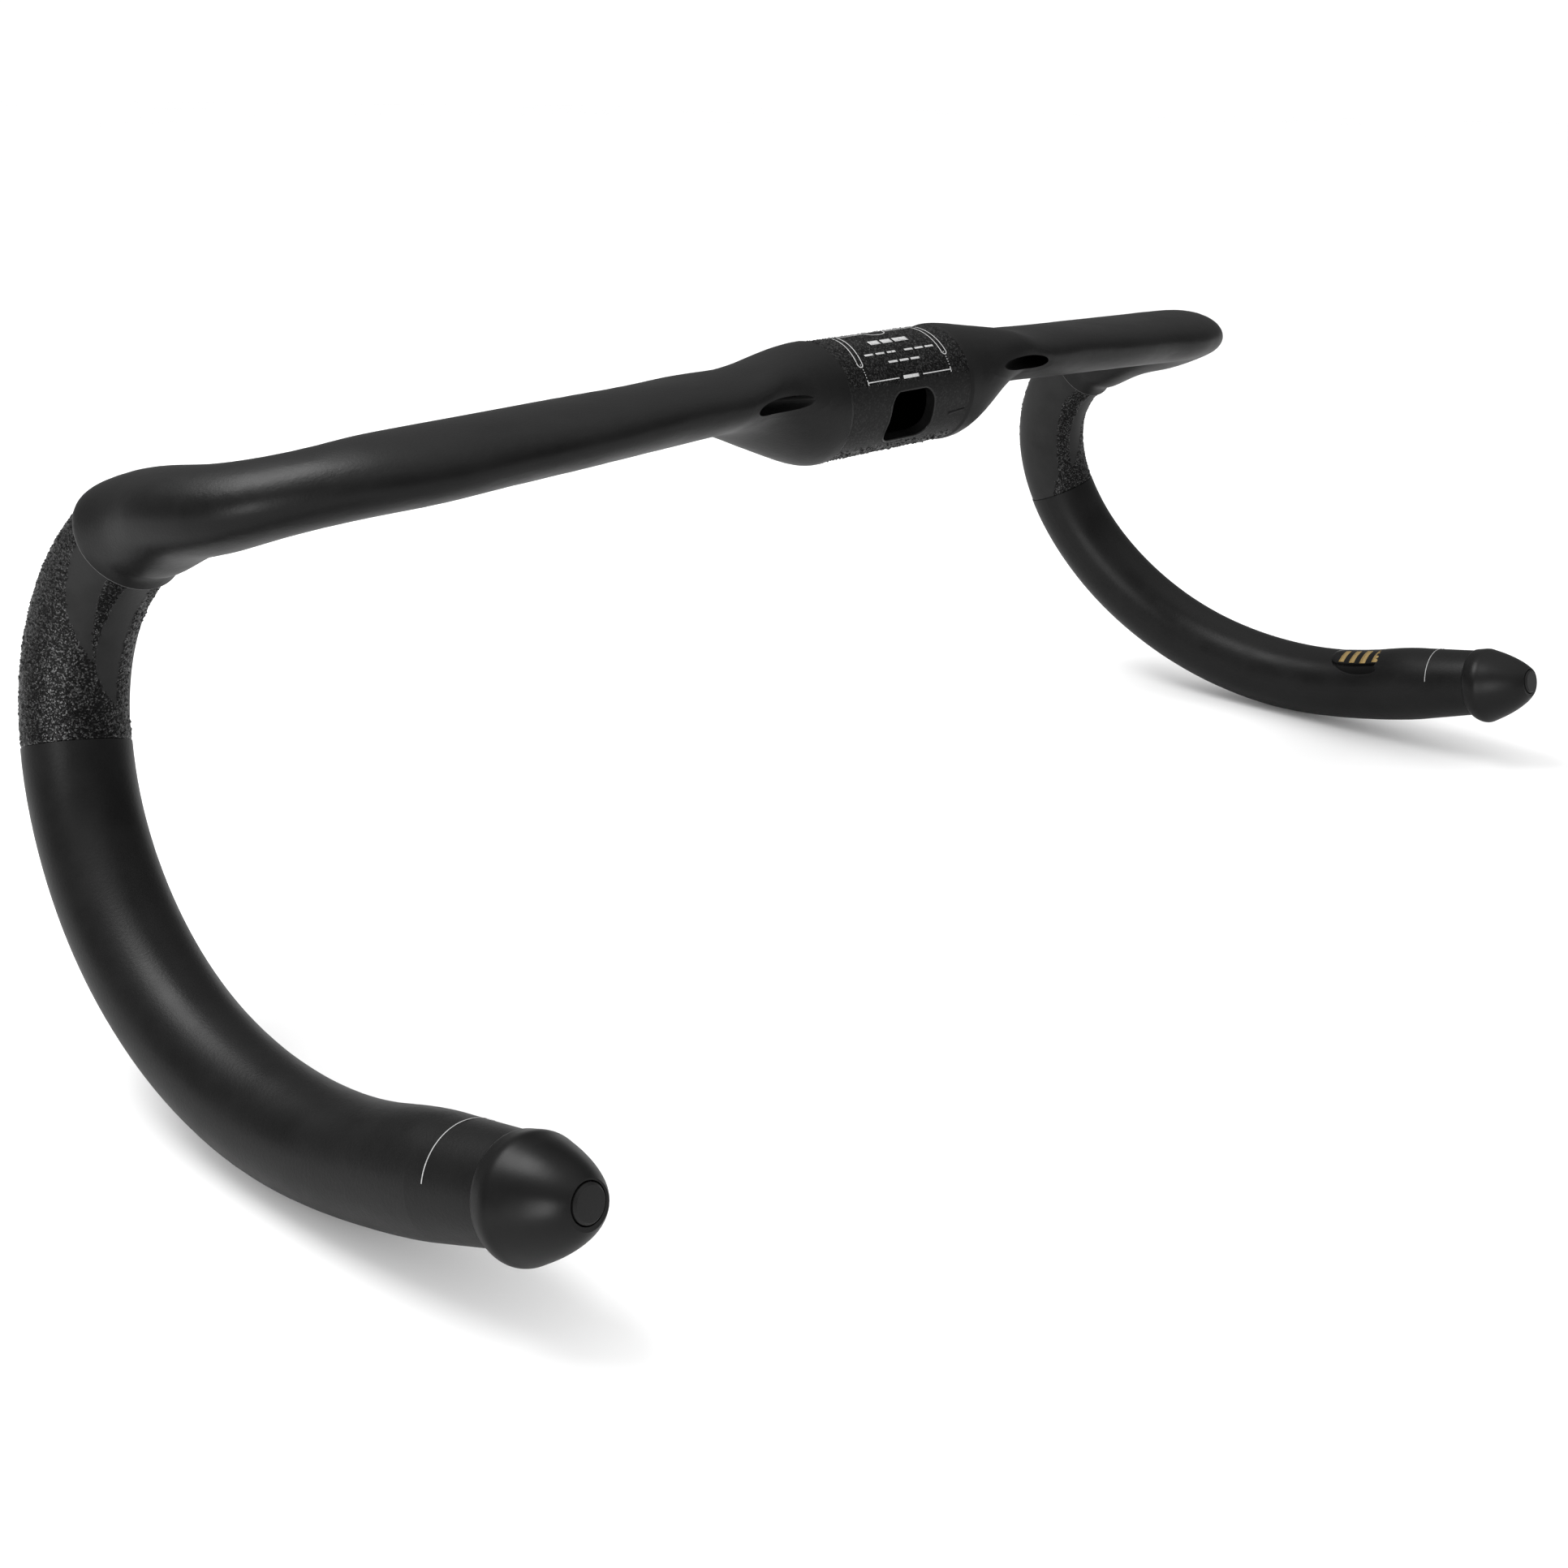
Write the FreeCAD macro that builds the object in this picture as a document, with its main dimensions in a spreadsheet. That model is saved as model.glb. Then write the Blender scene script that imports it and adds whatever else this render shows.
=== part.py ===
import FreeCAD, Part
import Sketcher
import os
from math import cos, pi, radians, sin, sqrt

# Drop handlebar: X to the rider's right, Y forward, Z up, origin on the stem clamp's axis at mid width.
os.makedirs("parts", exist_ok=True)
doc = FreeCAD.newDocument("drop_handlebar")
Vector = FreeCAD.Vector

# ---------------------------------------------------------------- driving dimensions
SIZES = (
    ("clamp_radius", 15.9, "stem clamp seat, 31.8 mm diameter over the grip coat"),
    ("coat_thickness", 0.15, "gritty grip coat"),
    ("clamp_half_length", 26, "half the stem clamp seat"),
    ("clamp_wall", 3.2, "laminate under the stem clamp"),
    ("shoulder_step", 0.5, "fairing stands proud of the clamp seat"),
    ("wall", 2.3, "laminate of the wing"),
    ("wing_half_chord", 20, "half the wing, fore and aft"),
    ("wing_half_thickness", 8, "half the wing, up and down"),
    ("wing_pitch", 8, "wing's rear edge is raised by this turn, degrees"),
    ("fairing_twist", 12, "more of that turn halfway along the fairing, degrees"),
    ("wing_forward", 3, "wing's centre ahead of the clamp's axis"),
    ("root_rise", 3.7, "wing's centre above the clamp's axis at its root"),
    ("tip_rise", 0.6, "wing's centre above the clamp's axis at the corner"),
    ("root_x", 58, "the fairing has become the wing here"),
    ("corner_x", 154, "the corner bend starts here"),
    ("corner_radius", 33, "corner bend, seen from above"),
    ("corner_half_chord", 14.5, "section halfway round the corner"),
    ("corner_half_thickness", 8.3, "section halfway round the corner"),
    ("seam_radius", 12.9, "wing's end at the seam"),
    ("half_width", 210, "centre to centre half width at the bar ends"),
    ("reach", 77.6, "clamp axis to the foremost point of the centreline"),
    ("drop", 127, "clamp axis to the lowest point of the centreline"),
    ("flare", 12.9, "the drops' plane leans outward, degrees"),
    ("hook_bend", 42.5, "centreline radius over the hood and round the hook"),
    ("lever_bend", 50, "centreline radius in the lower half of the lever zone"),
    ("throat_bend", 75.8, "centreline radius below the lever"),
    ("belly_bend", 104, "centreline radius of the lower drop"),
    ("grip_bend", 132, "centreline radius before the straight end"),
    ("end_straight", 40.6, "straight bar end"),
    ("lever_radius", 11.95, "tube under the lever's grip coat"),
    ("throat_radius", 12.3, "tube just below the lever's grip coat"),
    ("belly_radius", 12.55, "thickest place of the lower drop"),
    ("tip_radius", 11.1, "tube at its open end"),
    ("tip_length", 18.2, "tapered end of the tube"),
    ("drop_wall", 2, "laminate of the drop"),
    ("bore_radius", 10, "straight bore that holds the plug"),
    ("spigot_radius", 9.9, "drop's end inside the wing"),
    ("spigot_wall", 1.6, "laminate of the spigot"),
    ("bond_gap", 0.15, "adhesive around the spigot"),
    ("port_top", 8.8, "centre cable port, half width at its top"),
    ("port_bottom", 10.2, "centre cable port, half width at its bottom"),
    ("port_rise", 7.4, "centre cable port, half height"),
    ("port_corner", 4.4, "centre cable port, corner radius"),
    ("port_tilt", 18, "centre cable port faces this much below straight back, degrees"),
    ("side_port_length", 20, "side cable port, half length of its ramped pocket"),
    ("side_port_depth", 4.2, "side cable port, half depth of the pocket"),
    ("side_port_rise", 2.4, "side cable port, half height of the pocket"),
    ("side_port_x", 58.5, "middle of the side cable port's pocket"),
    ("side_port_y", -12.9, "middle of the side cable port's pocket"),
    ("side_port_z", 4.6, "middle of the side cable port's pocket"),
    ("side_port_slant", 15, "the pocket runs forward into the wing, degrees"),
    ("side_port_wall", 1.6, "wall of the pocket inside the wing"),
    ("side_port_open", 7, "the pocket's wall starts this much further inboard, which opens its far end"),
    ("hose_port_radius", 4.2, "lever hose entry, on the hook's front"),
    ("dome_radius", 12.7, "bar-end plug's largest radius"),
    ("dome_drop", 1.15, "the dome hangs this much below the tube's axis"),
    ("dome_length", 19.5, "tube end to the dome's flat"),
    ("button_bevel", 0.5, "cover disc's edge"),
    ("stem_length", 4.5, "cover disc's stem"),
    ("stem_wall", 1.1, "cover disc's stem"),
    ("recess_rim", 0.65, "flat rim around the recess"),
    ("recess_depth", 1.6, "recess around the cover disc"),
    ("shank_gap", 0.3, "the screw's clearance in the cap"),
    ("collar_radius", 9.92, "plug's collar in the bore"),
    ("collar_length", 6, "plug's collar"),
    ("button_radius", 3.9, "cover disc in the plug's middle"),
    ("button_proud", 0.7, "cover disc stands out of the dome"),
    ("recess_radius", 4.25, "recess around the cover disc"),
    ("head_bore", 3.7, "well for the screw's head"),
    ("head_seat", 6, "floor of the head's well, from the tube end"),
    ("screw_radius", 2, "M4 expander screw"),
    ("head_radius", 3.5, "screw head"),
    ("head_height", 3, "screw head"),
    ("hex_flats", 3, "screw's hex socket, across flats"),
    ("socket_floor", 1.1, "metal left under the screw's socket"),
    ("screw_length", 36, "under the head"),
    ("washer_radius", 3.6, "washer"),
    ("washer_thickness", 0.8, "washer"),
    ("jaw_radius", 9.95, "expander jaws, tightened"),
    ("jaw_length", 14, "expander jaws"),
    ("jaw_bore", 3.4, "bore of the jaws around the screw"),
    ("jaw_slot", 3, "slot between two jaws"),
    ("wedge_angle", 10, "wedge's half angle, degrees"),
    ("wedge_length", 12, "wedge nut"),
    ("wedge_gap", 0.05, "clearance of the wedge in the jaws"),
    ("key_reach", 8.6, "wedge's keys, from the axis"),
    ("key_width", 1.4, "wedge's keys in the jaws' slots"),
    ("ring_radius", 0.65, "retaining ring's section"),
    ("ring_depth", 8.5, "retaining ring, inward from the tube end"),
    ("ring_bite", 0.8, "the ring's centre line is this far under the jaws' outside"),
    ("cone_depth", 10, "the jaws' cone starts here, inward from the tube end"),
    ("wedge_depth", 13, "the wedge nut's narrow end, inward from the tube end"),
    ("groove_width", 1.8, "the ring's groove in the jaws"),
    ("groove_floor", 1.45, "depth of that groove"),
)
sheet = doc.addObject("Spreadsheet::Sheet", "Sizes")
for row, (alias, value, meaning) in enumerate(SIZES, start=1):
    sheet.set(f"A{row}", meaning)
    sheet.set(f"B{row}", str(value))
    sheet.setAlias(f"B{row}", alias)
doc.recompute()


def size(alias):
    return float(sheet.get(alias))


def bind(item, **expressions):
    """Bind properties of an object to formulas over the sheet's cells."""
    for prop, formula in expressions.items():
        for alias, _, _ in SIZES:
            if alias == formula:
                formula = f"Sizes.{alias}"
                break
        item.setExpression(prop, formula)
    return item


# ---------------------------------------------------------------- centreline
# Headings are degrees in the drop's own plane: 0 points forward, -90 down, -180 back.
FLARE = radians(size("flare"))
HOOD_START = 6
SEAM = -35
GRIP_EDGE = -110
TUBE_END = -194.6
ARCS = (
    (size("hook_bend"), -90),
    (size("lever_bend"), -110),
    (size("throat_bend"), -133.4),
    (size("belly_bend"), -164.7),
    (size("grip_bend"), TUBE_END),
)


def plane_point(direction):
    """Where the drop's centreline has this heading, in its own plane, before it is put in place."""
    ahead, up, heading = 0.0, 0.0, HOOD_START
    for radius, last in ARCS:
        turn_to = max(direction, last)
        ahead += radius * (sin(radians(heading)) - sin(radians(turn_to)))
        up -= radius * (cos(radians(heading)) - cos(radians(turn_to)))
        heading = turn_to
        if direction >= last:
            break
    return ahead, up


def arc_length(direction):
    """Length of the drop's centreline from the seam to where it has this heading."""
    length, heading = 0.0, SEAM
    for radius, last in ARCS:
        turn_to = max(direction, last)
        if turn_to < heading:
            length += radius * radians(heading - turn_to)
            heading = turn_to
    return length


FRONT = plane_point(-90)[0]
BOTTOM = plane_point(-180)[1]
END_RISE = plane_point(TUBE_END)[1] + size("end_straight") * sin(radians(TUBE_END))


def drop_point(direction, along=0.0):
    """Point and unit tangent of the right drop; along carries on straight in that heading."""
    ahead, up = plane_point(direction)
    heading = radians(direction)
    ahead += along * cos(heading)
    up += along * sin(heading)
    point = Vector(
        size("half_width") - sin(FLARE) * (up - END_RISE),
        size("reach") + ahead - FRONT,
        (up - BOTTOM) * cos(FLARE) - size("drop"),
    )
    tangent = Vector(-sin(FLARE) * sin(heading), cos(heading), cos(FLARE) * sin(heading))
    return point, tangent


def facing(point, tangent, inboard=Vector(-1, 0, 0)):
    """Placement whose Z is the tangent and whose X leans to inboard."""
    side = inboard - tangent * inboard.dot(tangent)
    side.normalize()
    return FreeCAD.Placement(point, FreeCAD.Rotation(side, tangent.cross(side), tangent, "ZXY"))


# ---------------------------------------------------------------- building blocks
def circle(name, place, radius):
    ring = doc.addObject("Part::Circle", name)
    ring.Placement = place
    return bind(ring, Radius=radius)


def ellipse(name, place, half_chord, half_thickness):
    oval = doc.addObject("Part::Ellipse", name)
    oval.Placement = place
    return bind(oval, MajorRadius=half_chord, MinorRadius=half_thickness)


def rings_along(name, headings, radius):
    """Circles square to the drop's centreline; radius gives a formula for each heading."""
    return [circle(f"{name}_{number}", facing(*drop_point(heading)), radius(heading))
            for number, heading in enumerate(headings)]


def loft(name, sections):
    skin = doc.addObject("Part::Loft", name)
    skin.Sections = sections
    skin.Solid = True
    return skin


def cylinder(name, place, radius, height):
    rod = doc.addObject("Part::Cylinder", name)
    rod.Placement = place
    return bind(rod, Radius=radius, Height=height)


def cone(name, place, radius_start, radius_end, height):
    taper = doc.addObject("Part::Cone", name)
    taper.Placement = place
    return bind(taper, Radius1=radius_start, Radius2=radius_end, Height=height)


def cut(name, base, *tools):
    for number, tool in enumerate(tools, start=1):
        last = number == len(tools)
        result = doc.addObject("Part::Cut", name if last else f"{name}_less_{number}")
        result.Base = base
        result.Tool = tool
        base = result
    return base


def fuse(name, *pieces):
    whole = doc.addObject("Part::MultiFuse", name)
    whole.Shapes = list(pieces)
    whole.Refine = False
    return whole


def mirrored(name, source):
    """The same piece on the rider's left."""
    copy = doc.addObject("Part::Mirroring", name)
    copy.Source = source
    copy.Normal = (1, 0, 0)
    return copy


def smooth(value):
    """0 to 1 with a level start and end."""
    value = min(max(value, 0.0), 1.0)
    return value * value * (3 - 2 * value)


def between(first, last, share):
    """Formula for a value part of the way from one to another."""
    return f"({first}) + ({share:.5f}) * (({last}) - ({first}))"


# ---------------------------------------------------------------- top section
ACROSS = FreeCAD.Rotation(Vector(0, 1, 0), Vector(0, 0, 1), Vector(1, 0, 0))
FAIRING_STATIONS = (0, 0.17, 0.33, 0.5, 0.67, 0.83, 1)
WING_STATIONS = (0.2, 0.4, 0.6, 0.8, 1)
CORNER_STATIONS = (15, 30, 50, 70, 90)
HOOD_STATIONS = (-12, -24, SEAM)
LOWER_LAG = 0.04
SINK_END = 120
EARLY = 0.4
NARROWEST = 30
ROUNDING = (40, 140)
SHOULDER = ("Sizes.clamp_radius + Sizes.shoulder_step",) * 2
WING = ("Sizes.wing_half_chord", "Sizes.wing_half_thickness")
CORNER = ("Sizes.corner_half_chord", "Sizes.corner_half_thickness")
WING_END = ("Sizes.seam_radius",) * 2


def station_across(x, forward, rise, pitch=0.0):
    """Placement across the bar: its X points forward, nose down by the pitch, and its Z outboard."""
    nose_down = FreeCAD.Rotation(Vector(1, 0, 0), -pitch)
    return FreeCAD.Placement(Vector(x, forward, rise), nose_down * ACROSS)


def blend(first, last, share, thickness_share=None):
    """Half chord and half thickness formulas, part of the way from one section to another."""
    if thickness_share is None:
        thickness_share = share
    return between(first[0], last[0], share), between(first[1], last[1], thickness_share)


def corner_frame(turn):
    """The corner bends forward through the turn, in degrees, and sinks to the hood's height."""
    hood, _ = drop_point(HOOD_START)
    heading, share = radians(turn), turn / SINK_END
    sink = hood.z - size("tip_rise")
    point = Vector(
        size("corner_x") + (hood.x - size("corner_x")) * sin(heading),
        size("wing_forward") + size("corner_radius") * (1 - cos(heading)),
        size("tip_rise") + sink * smooth(share),
    )
    slope = sink * 6 * share * (1 - share) / (size("corner_radius") * radians(SINK_END))
    tangent = Vector(cos(heading), sin(heading), slope)
    tangent.normalize()
    return facing(point, tangent, Vector(-sin(heading), cos(heading), 0))


def fairing_station(share):
    """Round at the clamp's shoulder, the wing's section at its root; its top and floor part ways."""
    upper, lower = smooth(share), smooth((share - LOWER_LAG) / (1 - LOWER_LAG))
    radius = size("clamp_radius") + size("shoulder_step")
    top = radius + upper * (size("root_rise") + size("wing_half_thickness") - radius)
    floor = -radius + lower * (size("root_rise") - size("wing_half_thickness") + radius)
    x = size("clamp_half_length") + share * (size("root_x") - size("clamp_half_length"))
    pitch = size("wing_pitch") * upper + size("fairing_twist") * sin(pi * share)
    place = station_across(x, upper * size("wing_forward"), (top + floor) / 2, pitch)
    return place, blend(SHOULDER, WING, upper, (upper + lower) / 2)


def wing_station(share):
    """Nearly level from root to corner, narrowing a little in its outer half."""
    x = size("root_x") + share * (size("corner_x") - size("root_x"))
    rise = size("root_rise") + share * (size("tip_rise") - size("root_rise"))
    place = station_across(x, size("wing_forward"), rise, size("wing_pitch") * (1 - share))
    return place, blend(WING, CORNER, EARLY * smooth(share * 2 - 1))


def corner_station(turn):
    """Narrowest just after the bend starts, then rounder toward the seam."""
    if turn <= NARROWEST:
        return corner_frame(turn), blend(WING, CORNER, EARLY + (1 - EARLY) * turn / NARROWEST)
    start, end = ROUNDING
    return corner_frame(turn), blend(CORNER, WING_END, (turn - start) / (end - start))


def top_stations():
    """(name, placement, (half chord, half thickness)) from the clamp's shoulder out to the seam."""
    for number, share in enumerate(FAIRING_STATIONS):
        yield f"fairing_{number}", *fairing_station(share)
    for number, share in enumerate(WING_STATIONS):
        yield f"wing_{number}", *wing_station(share)
    for turn in CORNER_STATIONS:
        yield f"corner_{turn}", *corner_station(turn)
    for number, direction in enumerate(HOOD_STATIONS, start=-2):
        yield f"hood_{-direction}", facing(*drop_point(direction)), blend(CORNER, WING_END, 1 + number / 8)


def make_port_cutter():
    """Rounded trapezoid that cuts the centre cable port, square to the clamp's lower rear."""
    block = doc.addObject("Part::Wedge", "port_block")
    bind(block, Xmin="-Sizes.port_bottom", Xmax="port_bottom", X2min="-Sizes.port_top", X2max="port_top")
    bind(block, Ymin="-Sizes.port_rise", Ymax="port_rise", Zmin="0", Z2min="0")
    bind(block, Zmax="Sizes.clamp_radius", Z2max="Sizes.clamp_radius")
    tilt = radians(size("port_tilt"))
    out = Vector(0, -cos(tilt), -sin(tilt))
    up = Vector(0, -sin(tilt), cos(tilt))
    start = size("port_corner")
    block.Placement = FreeCAD.Placement(out * start, FreeCAD.Rotation(up.cross(out), up, out))
    doc.recompute()
    rounded = doc.addObject("Part::Fillet", "port_cutter")
    rounded.Base = block
    corners = []
    for number, edge in enumerate(block.Shape.Edges, start=1):
        along = edge.tangentAt(edge.FirstParameter)
        if abs(along.dot(out)) > 0.99:
            corners.append((number, size("port_corner"), size("port_corner")))
    rounded.Edges = corners
    return rounded


def side_port_pocket(name, inboard, extra):
    """Long flat ellipsoid that runs outboard and forward into the wing; extra grows it all round."""
    slant = radians(size("side_port_slant"))
    along = Vector(cos(slant), sin(slant), 0)
    middle = Vector(size("side_port_x"), size("side_port_y"), size("side_port_z")) - along * inboard
    pocket = doc.addObject("Part::Ellipsoid", name)
    pocket.Placement = facing(middle, along, Vector(0, 1, 0))
    bind(pocket, Radius1=f"Sizes.side_port_length + {extra}", Radius2=f"Sizes.side_port_depth + {extra}")
    return bind(pocket, Radius3=f"Sizes.side_port_rise + {extra}")


def make_side_port_wall(skin):
    """Solid round the pocket, inside the wing's skin."""
    wall = doc.addObject("Part::Common", "side_port_block")
    wall.Base = skin
    wall.Tool = side_port_pocket("side_port_wall_blank", size("side_port_open"), "Sizes.side_port_wall")
    return wall


def make_bond_bore():
    """Round bore at the wing's end that takes the drop's spigot."""
    rings = rings_along("bond_ring", HOOD_STATIONS, lambda d: "Sizes.spigot_radius + Sizes.bond_gap")
    return loft("bond_bore", rings)


def make_right_hollow():
    """The wing's hollow: one wall in from the outside, ending in the round bond bore."""
    rings = []
    for name, place, (chord, thickness) in top_stations():
        if name.startswith("hood_"):
            continue
        wall = "Sizes.wall"
        if name == "fairing_0":
            wall = "(Sizes.clamp_wall + Sizes.shoulder_step)"
        rings.append(ellipse(f"{name}_inner", place, f"{chord} - {wall}", f"{thickness} - {wall}"))
    bond = "Sizes.spigot_radius + Sizes.bond_gap"
    rings.append(ellipse("hood_inner", facing(*drop_point(HOOD_STATIONS[0])), bond, bond))
    return loft("right_hollow", rings)


def make_top_section():
    """Hollow wing with the round clamp seat, its fairings and cable ports, ending at both seams."""
    place, length = station_across(-size("clamp_half_length"), 0, 0), "2 * Sizes.clamp_half_length"
    seat = cylinder("clamp_seat", place, "Sizes.clamp_radius - Sizes.coat_thickness", length)
    seat_bore = cylinder("clamp_bore", place, "Sizes.clamp_radius - Sizes.clamp_wall", length)
    skin = loft("right_skin", [ellipse(name, spot, *section) for name, spot, section in top_stations()])
    shell = cut("right_shell", skin, make_right_hollow(), make_bond_bore())
    walled = fuse("right_walled_shell", shell, make_side_port_wall(skin))
    right_cut = cut("right_wing", walled, side_port_pocket("side_port_cutter", 0, "0"))
    seat_tube = cut("seat_tube", seat, seat_bore, port_cutter)
    return fuse("top_section", seat_tube, right_cut, mirrored("left_wing", right_cut))


# ---------------------------------------------------------------- drops
LEVER_STATIONS = (SEAM, -48, -62, -76, -90, -100, GRIP_EDGE)
LOWER_STATIONS = (GRIP_EDGE, -121.7, -133.4, -149, -164.7, -179.7, TUBE_END)
HOSE_PORT = -60
SWOLLEN = 0.85


def down_share(direction):
    """0 at the lever zone's lower edge, 1 where the straight end starts."""
    span = arc_length(TUBE_END) - arc_length(GRIP_EDGE)
    return (arc_length(direction) - arc_length(GRIP_EDGE)) / span


def swell(direction):
    """Formula for the lower drop's radius: it thickens from the throat to the belly."""
    return between("Sizes.throat_radius", "Sizes.belly_radius", smooth(down_share(direction) / SWOLLEN))


def lever_hollow(direction):
    """Formula for the bore behind the lever zone: it starts as the spigot's bore."""
    if direction == SEAM:
        return "Sizes.spigot_radius - Sizes.spigot_wall"
    return "Sizes.lever_radius - Sizes.drop_wall"


def lower_hollow(direction):
    """Formula for the lower drop's bore, which ends as the plug's bore."""
    return between("Sizes.lever_radius - Sizes.drop_wall", "Sizes.bore_radius", down_share(direction))


def make_hose_port_cutter():
    """Round hole in the hook's front where the lever's hose goes in."""
    heading = radians(HOSE_PORT)
    point, _ = drop_point(HOSE_PORT)
    outward = Vector(-sin(FLARE) * cos(heading), -sin(heading), cos(FLARE) * cos(heading))
    return cylinder("hose_port_cutter", facing(point, outward), "hose_port_radius", "2 * Sizes.lever_radius")


def make_drop_outside():
    """Spigot, recessed lever zone, swelling lower drop and tapered end."""
    spigot = loft("spigot", rings_along("spigot_ring", HOOD_STATIONS, lambda d: "spigot_radius"))
    lever = loft("lever_zone", rings_along("lever_ring", LEVER_STATIONS, lambda d: "lever_radius"))
    taper_start = facing(*drop_point(TUBE_END, size("end_straight") - size("tip_length")))
    taper_radius = "Sizes.belly_radius - Sizes.coat_thickness"
    rings = rings_along("lower_ring", LOWER_STATIONS, swell)
    rings.append(circle("taper_ring", taper_start, taper_radius))
    taper = cone("tip_taper", taper_start, taper_radius, "tip_radius", "tip_length")
    return fuse("drop_outside", spigot, lever, loft("lower_drop", rings), taper)


def make_right_drop(outside):
    """Hollow drop: spigot, recessed lever zone, swelling lower drop and straight end with a plug bore."""
    spigot_bore = loft("spigot_bore", rings_along(
        "spigot_bore_ring", HOOD_STATIONS, lambda d: "Sizes.spigot_radius - Sizes.spigot_wall"))
    lever_bore = loft("lever_bore", rings_along("lever_bore_ring", LEVER_STATIONS, lever_hollow))
    lower_bore = loft("lower_bore", rings_along("lower_bore_ring", LOWER_STATIONS, lower_hollow))
    plug_bore = cylinder("plug_bore", facing(*drop_point(TUBE_END)), "bore_radius", "end_straight")
    return cut("right_drop", outside, spigot_bore, lever_bore, lower_bore, plug_bore, hose_port_cutter)


# ---------------------------------------------------------------- grip coats
def make_clamp_coat():
    """Gritty coat over the stem clamp seat."""
    place, length = station_across(-size("clamp_half_length"), 0, 0), "2 * Sizes.clamp_half_length"
    outer = cylinder("clamp_coat_outer", place, "clamp_radius", length)
    inner = cylinder("clamp_coat_inner", place, "Sizes.clamp_radius - Sizes.coat_thickness", length)
    return cut("clamp_grip_coat", outer, inner, port_cutter)


def make_lever_coat(outside):
    """Gritty coat around the right lever zone, from just under the seam into the throat's step."""
    headings = (SEAM - 0.3, *LEVER_STATIONS[1:-1], GRIP_EDGE - 1.5)
    blank = loft("coat_blank", rings_along(
        "coat_ring", headings, lambda d: "Sizes.lever_radius + Sizes.coat_thickness"))
    return cut("right_lever_grip_coat", blank, outside, hose_port_cutter)


# ---------------------------------------------------------------- bar-end plug
# The plug is drawn along its own Z, outward from the tube's end, with the ground toward its +Y.
# Each dome station holds its height, its share of the dome's growth and its share of the hang.
DOME_STATIONS = (
    (0, 0.0, 0.12),
    (1.2, 0.64, 0.55),
    (2.8, 0.94, 0.9),
    (4.8, 1.0, 1.0),
)
NOSE_RINGS = 8
NOSE_CONE = 0.58
NOSE_HANG = 0.3


def plug_place(offset=0.0):
    return facing(*drop_point(TUBE_END, size("end_straight") + offset))


def local(place, x, y, z):
    return FreeCAD.Placement(place.multVec(Vector(x, y, z)), place.Rotation)


def make_dome():
    """Mushroom head: a back edge that rolls out over the tube, then a nose between a cone and an oval."""
    base, rings = plug_place(), []
    widest = DOME_STATIONS[-1][0]
    for number, (z, grow, hang) in enumerate(DOME_STATIONS):
        radius = between("Sizes.tip_radius + 0.1", "Sizes.dome_radius", grow)
        rings.append(circle(f"dome_{number}", local(base, 0, hang * size("dome_drop"), z), radius))
    flat = (size("recess_radius") + size("recess_rim")) / size("dome_radius")
    nose = size("dome_length") - widest
    for number in range(1, NOSE_RINGS + 1):
        share = number / NOSE_RINGS
        oval = sqrt(1 - (1 - flat ** 2) * share ** 2)
        fall = NOSE_CONE * (1 - share * (1 - flat)) + (1 - NOSE_CONE) * oval
        hang = NOSE_HANG + (1 - NOSE_HANG) * sqrt(1 - share)
        place = local(base, 0, size("dome_drop") * hang, widest + nose * share)
        rings.append(circle(f"nose_{number}", place, f"Sizes.dome_radius * {fall:.5f}"))
    return loft("dome", rings)


def make_plug_cap():
    """Dome with its collar, bored for the screw, its head and the cover disc."""
    behind, length = plug_place(-size("collar_length")), "Sizes.collar_length + Sizes.dome_length"
    collar = cylinder("collar", behind, "collar_radius", "Sizes.collar_length + 0.5")
    shank = cylinder("cap_shank_bore", behind, "Sizes.screw_radius + Sizes.shank_gap", length)
    well = cylinder("cap_well", plug_place(size("head_seat")), "head_bore", "dome_length")
    floor = plug_place(size("dome_length") - size("recess_depth"))
    recess = cylinder("cap_recess", floor, "recess_radius", "dome_length")
    return cut("right_plug_cap", fuse("cap_body", make_dome(), collar), shank, well, recess)


def new_body(name, place):
    body = doc.addObject("PartDesign::Body", name)
    body.Placement = place
    return body


def plane(body, role):
    return next(item for item in body.Origin.OriginFeatures if item.Role == role)


def turned(name, place, corners, angle=360):
    """Body turned about its Z from a closed profile of (radius, height) formulas.

    The corners start spread round a circle, in order, and their dimensions pull them into place.
    """
    body = new_body(name, place)
    sketch = body.newObject("Sketcher::SketchObject", f"{name}_profile")
    sketch.AttachmentSupport = [(plane(body, "XZ_Plane"), "")]
    sketch.MapMode = "FlatFace"
    count = len(corners)
    angles = [2 * pi * number / count for number in range(count)]
    spots = [Vector(10 + 5 * cos(angle), 5 * sin(angle), 0) for angle in angles]
    for number in range(count):
        sketch.addGeometry(Part.LineSegment(spots[number], spots[(number + 1) % count]))
    for number in range(count):
        sketch.addConstraint(Sketcher.Constraint("Coincident", number, 2, (number + 1) % count, 1))
    for number, (radius, height) in enumerate(corners):
        spot = spots[number]
        for kind, formula, value in (("DistanceX", radius, spot.x), ("DistanceY", height, spot.y)):
            index = sketch.addConstraint(Sketcher.Constraint(kind, -1, 1, number, 1, value))
            sketch.renameConstraint(index, f"{kind}_{number}")
            sketch.setExpression(f".Constraints.{kind}_{number}", formula)
    turn = body.newObject("PartDesign::Revolution", f"{name}_turn")
    turn.Profile = sketch
    turn.ReferenceAxis = (sketch, ["V_Axis"])
    turn.Angle = angle
    turn.Midplane = True
    body.Tip = turn
    return body


def box(name, place, length, width, height):
    block = doc.addObject("Part::Box", name)
    block.Placement = place
    return bind(block, Length=length, Width=width, Height=height)


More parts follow.
